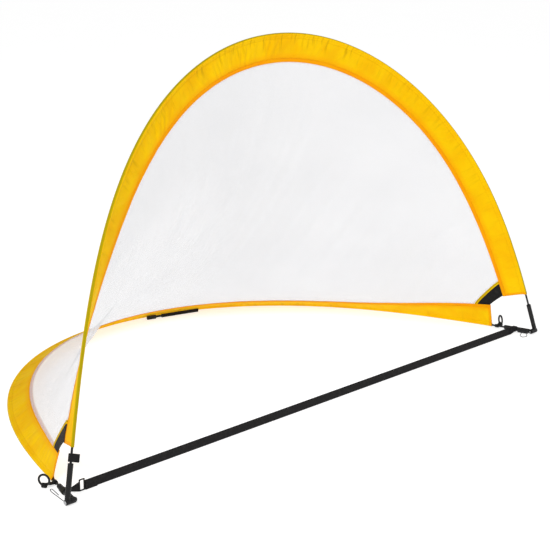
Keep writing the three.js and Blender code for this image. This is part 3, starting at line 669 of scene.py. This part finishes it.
def add_corner_sheet(name, side, begin, end, half, look, slot, node):
    """A strip from hem to hem, between two (front, rear) pairs of places from the corner."""
    (front_from, rear_from), (front_to, rear_to) = begin, end
    grid = hanging_grid(corner_places(front, side, front_from, front_to, 12),
                        corner_places(rear, side, rear_from, rear_to, 12), 22, HEM_HALF + 0.5 * MM, 8 * MM)
    hang(thick_sheet(f"{side}_{name}", grid, half, look, sheet_pattern(grid)), slot, node)


add_net()
for side in ("left", "right"):
    corner = (front.start + 1.5 * MM, rear.start + 1.5 * MM)
    seam = (front.start + GUSSET_FRONT, rear.start + GUSSET_REAR)
    edge = (seam[0] + BINDING, seam[1] + BINDING)
    add_corner_sheet("gusset_web", side, corner, seam, 0.7 * MM, GUSSET, "webbing", f"{side}_gusset")
    add_corner_sheet("binding_tape", side, seam, edge, 1.0 * MM, BIND, "yellow", f"{side}_binding")


# ---------------------------------------------------------------- corner hardware
for side in ("left", "right"):
    for name, body in (("front_socket", "front_arch"), ("rear_socket", "ground_frame")):
        node = f"{side}_{name}"
        ride(softened(f"{node}_moulding", node, PLASTIC, 0.75 * MM), body, "moulded")
    ride(softened(f"{side}_rivet", f"{side}_hinge_pin", STEEL, 0.4 * MM, 3), "ground_frame", "steel")
    ride(softened(f"{side}_rivet_cap", f"{side}_hinge_cap", PLASTIC, 0.3 * MM, 3), "ground_frame", "moulded")
    ride(softened(f"{side}_ring", f"{side}_peg_ring", PLASTIC, 0.5 * MM, 8), f"{side}_ring", "moulded")
    ride(softened(f"{side}_ring_strap", f"{side}_ring_loop", TAPE, 0.5 * MM, 5), "ground_frame", "webbing")
    ride(softened(f"{side}_ground_cord", f"{side}_peg_cord", CORD, 0.3 * MM, 5), "ground_frame", "cord")
    ride(softened(f"{side}_link_strap", f"{side}_strap_link", TAPE, 0.45 * MM, 3), "ground_frame", "webbing")
    ride(softened(f"{side}_wound_cord", f"{side}_lashing", WOUND, 0.35 * MM, 3), "ground_frame", "cord")

ride(softened("leg_tab_fold", "rod_tab", TAPE, 0.7 * MM, 8), "leg_tab", "webbing")
ride(softened("slot_buckle", "strap_buckle", PLASTIC, 0.5 * MM, 4), "ground_frame", "moulded")
ride(softened("storage_clip_body", "storage_buckle", PLASTIC, 0.5 * MM, 4), "ground_frame", "moulded")
ride(softened("storage_clip_tongue", "storage_plug", PLASTIC, 0.5 * MM, 4), "storage_half", "moulded")
ride(softened("storage_webbing", "storage_strap", TAPE, 0.6 * MM, 4), "storage_half", "webbing")
ride(softened("mouth_strap", "ground_strap", TAPE, 0.8 * MM, 2), "ground_frame", "webbing")
ride(softened("mouth_strap_tail", "strap_tail", TAPE, 0.5 * MM, 3), "ground_frame", "webbing")


# ---------------------------------------------------------------- floor, light and camera
def add_floor():
    look = Look("pale_floor")
    pale = look.blend(look.noise(3.0, 2.0, look.place()), (0.54, 0.54, 0.54), (0.56, 0.56, 0.56))
    look.finish(pale, 0.9, Specular_IOR_Level=0.0, Emission_Color=(1.0, 1.0, 1.0), Emission_Strength=0.68)
    radius, sides = 40.0, 96
    angle = np.linspace(0, 2 * np.pi, sides, endpoint=False)
    points = np.stack([np.cos(angle) * radius, np.sin(angle) * radius, np.zeros(sides)], -1)
    floor = mesh_object("floor", points, [tuple(range(sides))], look.material)
    if floor.data.polygons[0].normal.z < 0:
        floor.data.flip_normals()


def add_light(name, place, target, size, power):
    lamp = bpy.data.lights.new(name, "AREA")
    lamp.energy, lamp.size = power, size
    holder = bpy.data.objects.new(name, lamp)
    bpy.context.scene.collection.objects.link(holder)
    holder.location = place
    holder.rotation_mode = "QUATERNION"
    holder.rotation_quaternion = (Vector(target) - Vector(place)).to_track_quat("-Z", "Y")


def add_world():
    """A white studio, a little brighter to the camera than as light."""
    world = bpy.data.worlds.new("studio")
    bpy.context.scene.world = world
    world.use_nodes = True
    sky = world.node_tree.nodes["Background"]
    rays = world.node_tree.nodes.new("ShaderNodeLightPath")
    strength = world.node_tree.nodes.new("ShaderNodeMapRange")
    strength.inputs["To Min"].default_value = 0.56
    strength.inputs["To Max"].default_value = 1.05
    world.node_tree.links.new(rays.outputs["Is Camera Ray"], strength.inputs["Value"])
    world.node_tree.links.new(strength.outputs[0], sky.inputs["Strength"])
    sky.inputs["Color"].default_value = (1, 1, 1, 1)


def add_camera():
    """A long lens, low and to the left of the mouth."""
    azimuth, elevation = math.radians(-44.2), math.radians(16.2)
    distance = 4.35
    target = Vector((0.14, float(HINGE[1]) + 0.39, float(HINGE[2]) + 0.262))
    back = Vector((math.sin(azimuth) * math.cos(elevation), -math.cos(azimuth) * math.cos(elevation),
                   math.sin(elevation)))
    lens = bpy.data.cameras.new("camera")
    lens.sensor_width, lens.lens = 36.0, 95.4
    camera = bpy.data.objects.new("camera", lens)
    bpy.context.scene.collection.objects.link(camera)
    camera.location = target + back * distance
    camera.rotation_mode = "QUATERNION"
    camera.rotation_quaternion = (-back).to_track_quat("-Z", "Y")
    bpy.context.scene.camera = camera


add_floor()
add_world()
add_light("key", (-3.5, -2.0, 3.5), (0, 0, 0.4), 1.2, 112)
add_light("fill", (3.5, -2.5, 2.0), (0, 0, 0.3), 2.5, 30)
add_camera()
bpy.context.scene.view_settings.view_transform = "Standard"
